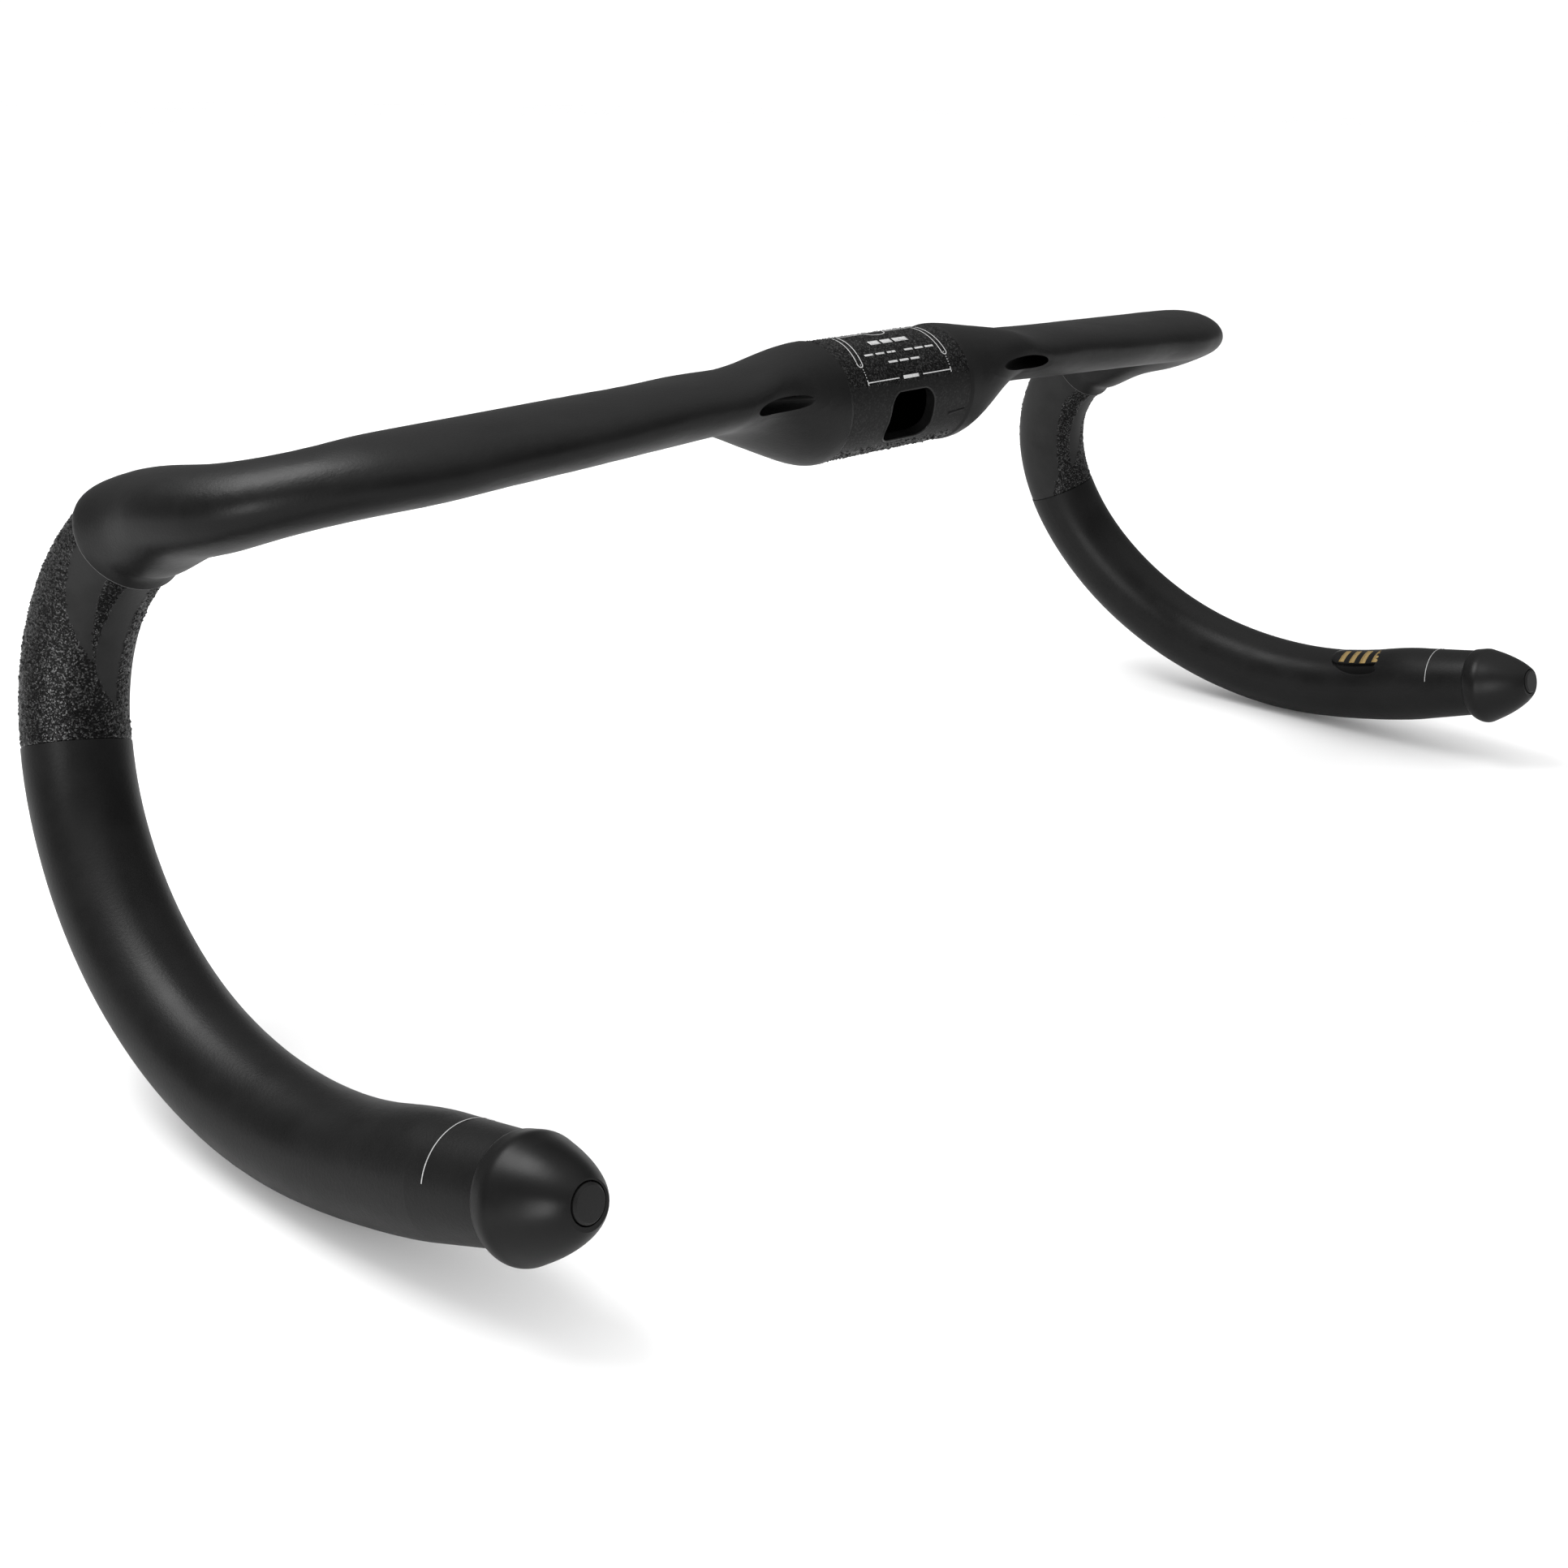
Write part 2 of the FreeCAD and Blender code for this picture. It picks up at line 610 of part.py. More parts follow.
def spun(place, degrees):
    """The placement turned about its own Z."""
    return FreeCAD.Placement(place.Base, place.Rotation * FreeCAD.Rotation(Vector(0, 0, 1), degrees))


def make_washer():
    seat, top = "Sizes.head_seat", "Sizes.head_seat + Sizes.washer_thickness"
    hole = "Sizes.screw_radius + 0.2"
    return turned("right_plug_washer", plug_place(), (
        (hole, seat), ("Sizes.washer_radius", seat), ("Sizes.washer_radius", top), (hole, top)))


def make_screw():
    """Low-head screw: plain shank at its thread's outside, hex socket in its head."""
    under = "Sizes.head_seat + Sizes.washer_thickness"
    tip = f"{under} - Sizes.screw_length"
    top = f"{under} + Sizes.head_height"
    blank = turned("screw_blank", plug_place(), (
        ("0", tip), ("Sizes.screw_radius - 0.5", tip), ("Sizes.screw_radius", f"{tip} + 0.8"),
        ("Sizes.screw_radius", under), ("Sizes.head_radius", under),
        ("Sizes.head_radius", f"{top} - 0.4"), ("Sizes.head_radius - 0.4", top), ("0", top)))
    socket = doc.addObject("Part::Prism", "screw_socket")
    socket.Polygon = 6
    bind(socket, Circumradius="Sizes.hex_flats / 2 / cos(30)", Height="Sizes.head_height")
    floor = size("head_seat") + size("washer_thickness") + size("socket_floor")
    socket.Placement = plug_place(floor)
    return cut("right_plug_screw", blank, socket)


JAW_TOP = "-Sizes.collar_length - 0.05"
JAW_BOTTOM = f"{JAW_TOP} - Sizes.jaw_length"
CONE_TOP = "(-Sizes.cone_depth)"
RING_HEIGHT = "(-Sizes.ring_depth)"
WEDGE_TOP = "(-Sizes.wedge_depth)"


def cone_radius(height):
    """Formula for the jaws' inner radius at a height on their cone."""
    return f"Sizes.jaw_bore + ({CONE_TOP} - ({height})) * tan(Sizes.wedge_angle)"


def make_jaw(number):
    """One of three expander jaws: a sector with a slot on each side and a groove for the ring."""
    place = spun(plug_place(), 120 * number)
    outside, groove = "Sizes.jaw_radius", "Sizes.jaw_radius - Sizes.groove_floor"
    above = f"{RING_HEIGHT} + Sizes.groove_width / 2"
    below = f"{RING_HEIGHT} - Sizes.groove_width / 2"
    sector = turned(f"jaw_sector_{number}", place, (
        ("Sizes.jaw_bore", JAW_TOP), (outside, JAW_TOP), (outside, above), (groove, above),
        (groove, below), (outside, below), (outside, JAW_BOTTOM),
        (cone_radius(JAW_BOTTOM), JAW_BOTTOM), ("Sizes.jaw_bore", CONE_TOP)), angle=120)
    slots, depth = [], size("collar_length") + size("jaw_length") + 1
    for side in (-60, 60):
        corner = local(spun(place, side), 0, -size("jaw_slot") / 2, -depth)
        slots.append(box(f"jaw_slot_{number}_{side + 60}", corner, "bore_radius", "jaw_slot", f"{depth}"))
    return cut(f"right_plug_jaw_{number + 1}", sector, *slots)


def make_wedge():
    """Cone nut with three keys that slide in the jaws' slots and stop it turning."""
    bottom = f"{WEDGE_TOP} - Sizes.wedge_length"
    gap = "Sizes.wedge_gap"
    nut = turned("wedge_cone", plug_place(), (
        ("0", WEDGE_TOP), (f"{cone_radius(WEDGE_TOP)} - {gap}", WEDGE_TOP),
        (f"{cone_radius(bottom)} - {gap}", bottom), ("0", bottom)))
    foot, keys = -size("wedge_depth") - size("wedge_length"), []
    for number in range(3):
        corner = local(spun(plug_place(), 120 * number + 60), 0, -size("key_width") / 2, foot)
        keys.append(box(f"wedge_key_{number}", corner, "key_reach", "key_width", "Sizes.wedge_length - 0.5"))
    thread_place = plug_place(foot - 1)
    thread = cylinder("wedge_thread", thread_place, f"Sizes.screw_radius + {gap}", "Sizes.wedge_length + 2")
    return cut("right_plug_wedge", fuse("wedge_blank", nut, *keys), thread)


def make_retaining_ring():
    """Elastic ring that pulls the jaws in."""
    ring = doc.addObject("Part::Torus", "right_plug_ring")
    ring.Placement = plug_place(-size("ring_depth"))
    return bind(ring, Radius1="Sizes.jaw_radius - Sizes.ring_bite", Radius2="ring_radius")


def make_button():
    """Flat cover disc with a short hollow stem that snaps into the head's well."""
    under = "Sizes.dome_length - Sizes.recess_depth + 0.05"
    top = "Sizes.dome_length + Sizes.button_proud"
    stem_end, bevel = f"{under} - Sizes.stem_length", "Sizes.button_bevel"
    stem = "Sizes.head_bore - 0.08"
    hollow = f"{stem} - Sizes.stem_wall"
    return turned("right_plug_button", plug_place(), (
        ("0", under), (hollow, under), (hollow, stem_end), (stem, stem_end), (stem, under),
        ("Sizes.button_radius", under), ("Sizes.button_radius", f"{top} - {bevel}"),
        (f"Sizes.button_radius - {bevel}", top), ("0", top)))


# ---------------------------------------------------------------- assembly
port_cutter = make_port_cutter()
hose_port_cutter = make_hose_port_cutter()
drop_outside = make_drop_outside()
centre_parts = [make_top_section(), make_clamp_coat()]
right_parts = [make_right_drop(drop_outside), make_lever_coat(drop_outside), make_plug_cap(), make_button()]
right_parts += [make_washer(), make_screw(), make_wedge(), make_retaining_ring()]
right_parts += [make_jaw(number) for number in range(3)]
left_parts = [mirrored(item.Name.replace("right_", "left_"), item) for item in right_parts]
nodes = centre_parts + right_parts + left_parts
for item in nodes:
    item.Label = item.Name
doc.recompute()

for item in doc.Objects:
    if "Invalid" in item.State or "Error" in item.State:
        raise RuntimeError(f"{item.Name} failed: {item.State}")
for item in nodes:
    shape = item.Shape
    if shape.isNull() or not shape.isValid() or len(shape.Solids) != 1:
        raise RuntimeError(f"{item.Label}: not one valid solid")
    shape.exportStep(f"parts/{item.Label}.step")
    print(f"{item.Label}: {shape.Volume / 1000:.2f} cm3")
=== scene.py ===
from math import cos, pi, radians, sin, sqrt
import bpy
import numpy as np
from mathutils import Matrix, Vector


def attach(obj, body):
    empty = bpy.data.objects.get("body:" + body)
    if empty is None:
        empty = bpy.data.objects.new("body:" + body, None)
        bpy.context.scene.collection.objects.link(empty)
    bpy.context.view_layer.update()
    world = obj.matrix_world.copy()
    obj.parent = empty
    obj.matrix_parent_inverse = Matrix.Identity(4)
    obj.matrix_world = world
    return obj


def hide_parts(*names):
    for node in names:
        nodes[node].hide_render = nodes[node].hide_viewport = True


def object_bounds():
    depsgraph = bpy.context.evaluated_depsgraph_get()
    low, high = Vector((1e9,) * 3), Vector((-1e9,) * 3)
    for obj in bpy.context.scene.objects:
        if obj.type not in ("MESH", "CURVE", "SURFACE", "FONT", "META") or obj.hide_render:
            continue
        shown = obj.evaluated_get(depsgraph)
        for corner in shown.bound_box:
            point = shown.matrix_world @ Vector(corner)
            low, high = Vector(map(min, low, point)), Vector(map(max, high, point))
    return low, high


# Drop handlebar: looks built around the CAD solids. Metres, X to the rider's right, Y forward, Z up.
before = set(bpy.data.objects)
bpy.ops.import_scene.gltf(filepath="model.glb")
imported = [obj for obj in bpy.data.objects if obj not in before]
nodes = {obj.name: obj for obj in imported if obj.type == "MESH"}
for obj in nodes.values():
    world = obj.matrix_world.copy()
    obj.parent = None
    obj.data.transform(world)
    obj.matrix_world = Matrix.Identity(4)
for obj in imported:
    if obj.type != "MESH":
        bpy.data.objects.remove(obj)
cad_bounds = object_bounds()
rng = np.random.default_rng(42)
MM = 0.001

# ---------------------------------------------------------------- the right drop's centreline, in mm
# Headings are degrees in the drop's own plane: 0 points forward, -90 down, -180 back.
FLARE = radians(12.9)
HOOD_START = 6
SEAM = -35
GRIP_EDGE = -110
TUBE_END = -194.6
ARCS = ((42.5, -90), (50, -110), (75.8, -133.4), (104, -164.7), (132, TUBE_END))
HALF_WIDTH = 210
REACH = 77.6
DROP = 127
END_STRAIGHT = 40.6
COAT_RADIUS = 12.1
CLAMP_RADIUS = 15.9
GRIP_RADIUS = 12.55
END_RADIUS = 12.4
TAPER_START = 22.4
TAPER_LENGTH = 18.2
TAPER_FALL = 1.3


def plane_point(heading):
    """Where the centreline has this heading, in its own plane."""
    ahead, up, start = 0.0, 0.0, HOOD_START
    for radius, last in ARCS:
        turn_to = max(heading, last)
        ahead += radius * (sin(radians(start)) - sin(radians(turn_to)))
        up -= radius * (cos(radians(start)) - cos(radians(turn_to)))
        start = turn_to
        if heading >= last:
            break
    return ahead, up


FRONT = plane_point(-90)[0]
BOTTOM = plane_point(-180)[1]
END_RISE = plane_point(TUBE_END)[1] + END_STRAIGHT * sin(radians(TUBE_END))


def station(heading, along=0.0):
    """Centre, tangent, outboard normal and outward-of-bend normal of the right drop, in mm."""
    ahead, up = plane_point(heading)
    turn = radians(heading)
    ahead += along * cos(turn)
    up += along * sin(turn)
    centre = np.array([HALF_WIDTH - sin(FLARE) * (up - END_RISE), REACH + ahead - FRONT,
                       (up - BOTTOM) * cos(FLARE) - DROP])
    tangent = np.array([-sin(FLARE) * sin(turn), cos(turn), cos(FLARE) * sin(turn)])
    outboard = np.array([cos(FLARE), 0.0, sin(FLARE)])
    outward = np.array([-sin(FLARE) * cos(turn), -sin(turn), cos(FLARE) * cos(turn)])
    return centre, tangent, outboard, outward


def end_station(along):
    """Station at a distance from where the straight end starts; before it, back along the last arc."""
    if along < 0:
        return station(TUBE_END - np.degrees(along / ARCS[-1][0]))
    return station(TUBE_END, along)


def on_drop(place, angle, radius):
    """Point of a round surface about a station, angle in degrees from outboard toward outward."""
    centre, _, outboard, outward = place
    turn = radians(angle)
    return centre + radius * (cos(turn) * outboard + sin(turn) * outward)


def on_clamp(x, angle, radius=CLAMP_RADIUS):
    """Point of the clamp seat, angle in degrees above straight back."""
    turn = radians(angle)
    return np.array([x, -radius * cos(turn), radius * sin(turn)])


# ---------------------------------------------------------------- mesh helpers
def mesh_object(name, points, faces, materials, side=1, smooth=True, face_materials=None):
    """Object from points in mm; side -1 mirrors it to the rider's left."""
    scale = np.array([side * MM, MM, MM])
    if side < 0:
        faces = [tuple(reversed(face)) for face in faces]
    mesh = bpy.data.meshes.new(name)
    mesh.from_pydata((np.asarray(points) * scale).tolist(), [], faces)
    for material in materials:
        mesh.materials.append(material)
    if face_materials is not None:
        mesh.polygons.foreach_set("material_index", face_materials)
    mesh.polygons.foreach_set("use_smooth", [smooth] * len(faces))
    mesh.update()
    item = bpy.data.objects.new(name, mesh)
    bpy.context.scene.collection.objects.link(item)
    return item


def grid_faces(rows, columns, closed):
    """Quads of a grid of rows by columns; closed joins the last column to the first."""
    faces = []
    last = columns if closed else columns - 1
    for row in range(rows - 1):
        for column in range(last):
            right = (column + 1) % columns
            faces.append((row * columns + column, row * columns + right,
                          (row + 1) * columns + right, (row + 1) * columns + column))
    return faces


def tube(name, path, radius, material, side=1, closed=False, sides=10):
    """Round wire along a path of points in mm."""
    path = np.asarray(path, float)
    count = len(path)
    if closed:
        tangents = np.roll(path, -1, 0) - np.roll(path, 1, 0)
    else:
        tangents = np.gradient(path, axis=0)
    tangents /= np.linalg.norm(tangents, axis=1)[:, None]
    across = np.cross(tangents[0], (0.3, 0.5, 0.8))
    points = []
    for spot, tangent in zip(path, tangents):
        across = across - tangent * (across @ tangent)
        across /= np.linalg.norm(across)
        other = np.cross(tangent, across)
        for number in range(sides):
            turn = 2 * pi * number / sides
            points.append(spot + radius * (cos(turn) * across + sin(turn) * other))
    rows = count + 1 if closed else count
    faces = [tuple(index % (count * sides) for index in face) for face in grid_faces(rows, sides, True)]
    if not closed:
        faces.append(tuple(reversed(range(sides))))
        faces.append(tuple(range((count - 1) * sides, count * sides)))
    return mesh_object(name, points, faces, [material], side)


def ribbon(points, faces, path, width, place, thickness=0.06):
    """Adds a flat printed stroke along a path of (u, v) in mm; place maps (u, v, height) to a point."""
    path = np.asarray(path, float)
    steps = np.gradient(path, axis=0)
    steps /= np.linalg.norm(steps, axis=1)[:, None]
    start = len(points)
    for (u, v), (du, dv) in zip(path, steps):
        for sign, height in ((1, 0), (1, thickness), (-1, thickness), (-1, 0)):
            points.append(place(u - sign * dv * width / 2, v + sign * du * width / 2, height))
    for row in range(len(path) - 1):
        base = start + row * 4
        for number in range(4):
            following = (number + 1) % 4
            faces.append((base + number, base + following, base + 4 + following, base + 4 + number))
    end = start + (len(path) - 1) * 4
    faces.append((start + 3, start + 2, start + 1, start))
    faces.append((end, end + 1, end + 2, end + 3))


def line(first, last, steps=8):
    """Straight path between two (u, v) points."""
    return [(first[0] + (last[0] - first[0]) * n / steps, first[1] + (last[1] - first[1]) * n / steps)
            for n in range(steps + 1)]


# ---------------------------------------------------------------- materials
def new_material(name):
    """A node material with its tree and its main shader."""
    material = bpy.data.materials.new(name)
    material.use_nodes = True
    tree = material.node_tree
    shader = next(node for node in tree.nodes if node.type == "BSDF_PRINCIPLED")
    return material, tree, shader


def noise(tree, scale, detail=4.0, roughness=0.6, kind="ShaderNodeTexNoise"):
    """Noise in the object's own metres; scale is features per metre."""
    place = tree.nodes.new("ShaderNodeTexCoord")
    texture = tree.nodes.new(kind)
    texture.inputs["Scale"].default_value = scale
    if kind == "ShaderNodeTexNoise":
        texture.inputs["Detail"].default_value = detail
        texture.inputs["Roughness"].default_value = roughness
    tree.links.new(place.outputs["Object"], texture.inputs["Vector"])
    return texture


def ramp(tree, source, low, high, start=0.35, end=0.65):
    """Remaps a value output to between low and high."""
    node = tree.nodes.new("ShaderNodeMapRange")
    node.inputs["From Min"].default_value = start
    node.inputs["From Max"].default_value = end
    node.inputs["To Min"].default_value = low
    node.inputs["To Max"].default_value = high
    tree.links.new(source, node.inputs["Value"])
    return node.outputs["Result"]


def tint(tree, shader, source, dark, light):
    """Base colour between two greys or colours, driven by a value output."""
    node = tree.nodes.new("ShaderNodeMix")
    node.data_type = "RGBA"
    node.inputs["A"].default_value = (*dark, 1)
    node.inputs["B"].default_value = (*light, 1)
    tree.links.new(source, node.inputs["Factor"])
    tree.links.new(node.outputs["Result"], shader.inputs["Base Color"])


def bump(tree, shader, source, height, strength=1.0):
    """Bump from a value output; height in metres."""
    node = tree.nodes.new("ShaderNodeBump")
    node.inputs["Strength"].default_value = strength
    node.inputs["Distance"].default_value = height
    tree.links.new(source, node.inputs["Height"])
    tree.links.new(node.outputs["Normal"], shader.inputs["Normal"])


def satin(name, dark, light, rough_low, rough_high, grain=1400, grain_height=0.00004, patch=60,
          shine=0.24):
    """Satin black: patchy sheen over a faint fine grain."""
    material, tree, shader = new_material(name)
    shader.inputs["Specular IOR Level"].default_value = shine
    sheen = noise(tree, patch, 5)
    fine = noise(tree, grain, 3)
    tint(tree, shader, ramp(tree, sheen.outputs["Fac"], 0, 1), dark, light)
    tree.links.new(ramp(tree, sheen.outputs["Fac"], rough_low, rough_high), shader.inputs["Roughness"])
    bump(tree, shader, fine.outputs["Fac"], grain_height)
    return material


def gritty(name, dark, light, roughness, scale, height, dull, sparkle):
    """Black over coarse sharp grains; most grains are dull and a few flash."""
    material, tree, shader = new_material(name)
    shader.inputs["IOR"].default_value = 1.8
    cells = noise(tree, scale, kind="ShaderNodeTexVoronoi")
    flash = ramp(tree, cells.outputs["Color"], dull, sparkle, 0.58, 0.88)
    tree.links.new(flash, shader.inputs["Specular IOR Level"])
    fine = noise(tree, scale * 1.7, 2)
    tint(tree, shader, ramp(tree, fine.outputs["Fac"], 0, 1), dark, light)
    rough = ramp(tree, fine.outputs["Fac"], roughness, roughness + 0.22)
    tree.links.new(rough, shader.inputs["Roughness"])
    blend = tree.nodes.new("ShaderNodeMath")
    blend.operation = "SUBTRACT"
    tree.links.new(fine.outputs["Fac"], blend.inputs[0])
    tree.links.new(cells.outputs["Distance"], blend.inputs[1])
    bump(tree, shader, blend.outputs["Value"], height)
    return material


def metal(name, colour, roughness):
    """Turned metal with fine brushed grain."""
    material, tree, shader = new_material(name)
    shader.inputs["Metallic"].default_value = 1.0
    grain = noise(tree, 2200, 6, 0.7)
    dark = tuple(0.8 * part for part in colour)
    tint(tree, shader, ramp(tree, grain.outputs["Fac"], 0, 1), dark, colour)
    rough = ramp(tree, grain.outputs["Fac"], roughness, roughness + 0.15)
    tree.links.new(rough, shader.inputs["Roughness"])
    bump(tree, shader, grain.outputs["Fac"], 0.00001)
    return material


def ink(name, colour, roughness):
    """Printed or painted mark, slightly worn; the seam line made with it has a pale grey that is painted
    highlight.
    """
    material, tree, shader = new_material(name)
    wear = noise(tree, 1800, 4)
    worn = tuple(0.72 * part for part in colour)
    tint(tree, shader, ramp(tree, wear.outputs["Fac"], 0, 1), worn, colour)
    shader.inputs["Roughness"].default_value = roughness
    return material


carbon = satin("carbon_satin", (0.004,) * 3, (0.0065,) * 3, 0.37, 0.45)
window_satin = satin("window_satin", (0.011,) * 3, (0.016,) * 3, 0.46, 0.54, patch=140)
grit = gritty("grit_gloss", (0.0008,) * 3, (0.002,) * 3, 0.2, 3000, 0.00006, 0.08, 0.8)
clamp_skin = gritty("clamp_skin", (0.004,) * 3, (0.007,) * 3, 0.38, 2200, 0.00003, 0.1, 0.2)
plug_plastic = satin("plug_plastic", (0.0035,) * 3, (0.0055,) * 3, 0.34, 0.42, grain=2600,
                     grain_height=0.00001)
disc_plastic = satin("disc_plastic", (0.008,) * 3, (0.012,) * 3, 0.34, 0.44, grain=3000,
                     grain_height=0.00002)
jaw_nylon = satin("jaw_nylon", (0.02,) * 3, (0.03,) * 3, 0.45, 0.6, grain=900)
rubber = satin("ring_rubber", (0.012,) * 3, (0.02,) * 3, 0.6, 0.75, grain=2500)
steel = metal("zinc_steel", (0.55, 0.55, 0.56), 0.28)
alloy = metal("turned_alloy", (0.66, 0.66, 0.67), 0.24)
white_ink = ink("white_ink", (0.55, 0.55, 0.55), 0.5)
line_ink = ink("line_ink", (0.42, 0.42, 0.42), 0.5)
# The seam line's pale grey is painted highlight: light caught on the edge of the step where the top
# section ends over the drop.
seam_highlight_paint = ink("seam_edge", (0.10, 0.10, 0.10), 0.35)
lip_coat = satin("port_lip", (0.012,) * 3, (0.02,) * 3, 0.18, 0.28)
mark_ink = satin("mark_ink", (0.001,) * 3, (0.002,) * 3, 0.4, 0.5)
badge_gloss = satin("badge_gloss", (0.002,) * 3, (0.003,) * 3, 0.08, 0.14, grain_height=0.000004)
gold = ink("gold_ink", (0.33, 0.22, 0.07), 0.42)


# ---------------------------------------------------------------- finishes of the CAD solids
FINISHES = {
    "top_section": carbon, "clamp_grip_coat": clamp_skin, "drop": carbon, "plug_cap": plug_plastic,
    "plug_button": disc_plastic, "plug_washer": steel, "plug_screw": steel, "plug_wedge": alloy,
    "plug_ring": rubber, "plug_jaw_1": jaw_nylon, "plug_jaw_2": jaw_nylon, "plug_jaw_3": jaw_nylon,
}


def finish_cad():
    """Gives each CAD solid the finish of its kind."""
    for name, item in nodes.items():
        plain = name.replace("right_", "").replace("left_", "")
        if plain in FINISHES:
            item.data.materials.clear()
            item.data.materials.append(FINISHES[plain])


# ---------------------------------------------------------------- grit
GRIT_SPACING = 0.38
LEVER_ZONE_LENGTH = 60
HOSE_HOLE_RADIUS = 4.25


def grain_heights(rows, columns, peak=0.34):
    """Heights in mm: mostly low, with sparse sharp grains and soft clumps."""
    grains = rng.random((rows, columns)) ** 6
    soft = rng.normal(size=(rows, columns))
    for _ in range(3):
        beside = np.roll(soft, 1, 0) + np.roll(soft, -1, 0) + np.roll(soft, 1, 1) + np.roll(soft, -1, 1)
        soft = (soft + beside) / 5
    soft = np.clip(0.5 + soft / (soft.std() * 4), 0, 1)
    return peak * (0.75 * grains + 0.35 * grains * soft + 0.12 * soft)


def lever_windows(down, around):
    """Whether a place on the lever zone is in one of its smooth windows; down is minus the heading."""
    past = down - 37
    outer_start = 303 - 0.5 * (down - 40.5)
    outer_end = 352 - 0.75 * past - 0.0175 * past ** 2
    outer = (around > outer_start) & (around < outer_end) & (down < 82)
    rear_end = 282.5 - 42 * np.clip((down - 72) / 29.5, 0, 2) ** 3
    rear = (around > 250) & (around < rear_end)
    inner_end = 216 + 0.4 * np.clip(down - 50, 0, 25) - 1.9 * np.clip(down - 98, 0, 20)
    inner = (around > 118) & (around < inner_end)
    return outer | rear | inner


def hose_port_axis():
    """Centre on the coat and direction of the lever hose's hole."""
    centre, _, _, outward = station(-60)
    return centre, outward


def open_hose_port(points, radius):
    """Slides points inside the hose hole out to its edge; returns which ones were well inside."""
    centre, axis = hose_port_axis()
    offset = points - centre
    ahead = offset @ axis
    flat = offset - ahead[:, None] * axis
    away = np.linalg.norm(flat, axis=1)
    inside = (away < radius) & (ahead > 0)
    grown = flat[inside] * (radius / np.maximum(away[inside], 1e-6))[:, None]
    points[inside] = centre + grown + ahead[inside][:, None] * axis
    return inside


def make_lever_coat(side, name):
    """Gritty sleeve with smooth windows round one lever zone."""
    first, last = SEAM - 0.3, GRIP_EDGE - 0.1
    rows = int(LEVER_ZONE_LENGTH / GRIT_SPACING)
    columns = int(2 * pi * COAT_RADIUS / GRIT_SPACING)
    headings = np.linspace(first, last, rows)
    angles = np.arange(columns) * 360 / columns
    smooth_part = np.zeros((rows, columns), bool)
    wobble = rng.normal(0, 0.8, (rows, columns))
    for row, heading in enumerate(headings):
        smooth_part[row] = lever_windows(-heading + 0.5 * wobble[row], (angles + wobble[row]) % 360)
    heights = np.where(smooth_part, -0.03, grain_heights(rows, columns))
    heights[0] = heights[-1] = -0.3
    heights[1] = heights[-2] = 0
    points = []
    for row, heading in enumerate(headings):
        place = station(heading)
        for column, angle in enumerate(angles):
            points.append(on_drop(place, angle, COAT_RADIUS + heights[row, column]))
    points = np.array(points)
    inside = open_hose_port(points, HOSE_HOLE_RADIUS)
    faces, finishes = [], []
    flat = smooth_part.ravel()
    for face in grid_faces(rows, columns, True):
        if all(inside[index] for index in face):
            continue
        faces.append(tuple(reversed(face)))
        finishes.append(1 if sum(flat[index] for index in face) > 2 else 0)
    return mesh_object(name, points, faces, [grit, window_satin], side, face_materials=finishes)


def make_clamp_grit():
    """Grit over the top, front and underside of the clamp seat, thinning out round the cable port."""
    first, last, half = 14.0, 314.0, 25.9
    rows = int(2 * half / GRIT_SPACING)
    columns = int(radians(last - first) * CLAMP_RADIUS / GRIT_SPACING)
    across = np.linspace(-half, half, rows)
    angles = np.linspace(first, last, columns)
    heights = grain_heights(rows, columns)
    under = np.clip((angles - 235) / 25, 0, 1)
    heights = heights * (1 + 0.9 * under[None, :] * rng.random((rows, columns)) ** 3)
    edge = np.minimum(angles - first, last - angles) / 9
    fade = np.clip(edge[None, :] + rng.normal(0, 0.25, (rows, columns)), 0, 1)
    heights = heights * fade - 0.06 * (1 - fade)
    heights[0] = heights[-1] = -0.1
    heights[:, 0] = heights[:, -1] = -0.1
    points = [on_clamp(across[row], angles[column], CLAMP_RADIUS + heights[row, column])
              for row in range(rows) for column in range(columns)]
    faces = grid_faces(rows, columns, False)
    return mesh_object("clamp_grit", points, faces, [grit])


# ---------------------------------------------------------------- edges and lines
SEAM_RADIUS = 12.86
LIMIT_ALONG = 27.3
LIMIT_FIRST = 208
LIMIT_LAST = 350


def make_seam_edge(side, name):
    """Pale line round the seam where the top section ends over the drop; the seam is real, its pale
    colour is painted highlight, the light caught on the step's edge.
    """
    place = station(SEAM)
    path = [on_drop(place, 360 * number / 120, SEAM_RADIUS) for number in range(120)]
    return tube(name, path, 0.08, seam_highlight_paint, side, closed=True, sides=8)


def make_limit_line(side, name):
    """Thin printed line part way round the bar end, the mark for cutting the tube."""
    points, faces = [], []
    nominal = 12.1

    def place(u, v, height):
        past_start = LIMIT_ALONG - TAPER_START + u
        radius = END_RADIUS - TAPER_FALL * past_start / TAPER_LENGTH + 0.03 + height
        return on_drop(end_station(LIMIT_ALONG + u), v / nominal * 180 / pi, radius)

    first, last = radians(LIMIT_FIRST) * nominal, radians(LIMIT_LAST) * nominal
    ribbon(points, faces, line((0, first), (0, last), 60), 0.26, place)
    return mesh_object(name, points, faces, [line_ink], side)


def make_clamp_shoulder(side, name):
    """Rounded rise from the clamp seat up to the fairing."""
    rows, columns = 8, 160
    start, width, rise = 24.6, 1.42, 0.51
    points = []
    for row in range(rows):
        share = row / (rows - 1)
        x = start + width * share
        radius = CLAMP_RADIUS - 0.03 + rise * share * share * (3 - 2 * share)
        points += [on_clamp(x, 360 * column / columns, radius) for column in range(columns)]
    return mesh_object(name, points, grid_faces(rows, columns, True), [carbon], side)


PORT_TILT = radians(18)
PORT_HALF_RISE = 7.4
PORT_HALF_TOP = 8.8
PORT_HALF_BOTTOM = 10.2
PORT_CORNER = 4.4


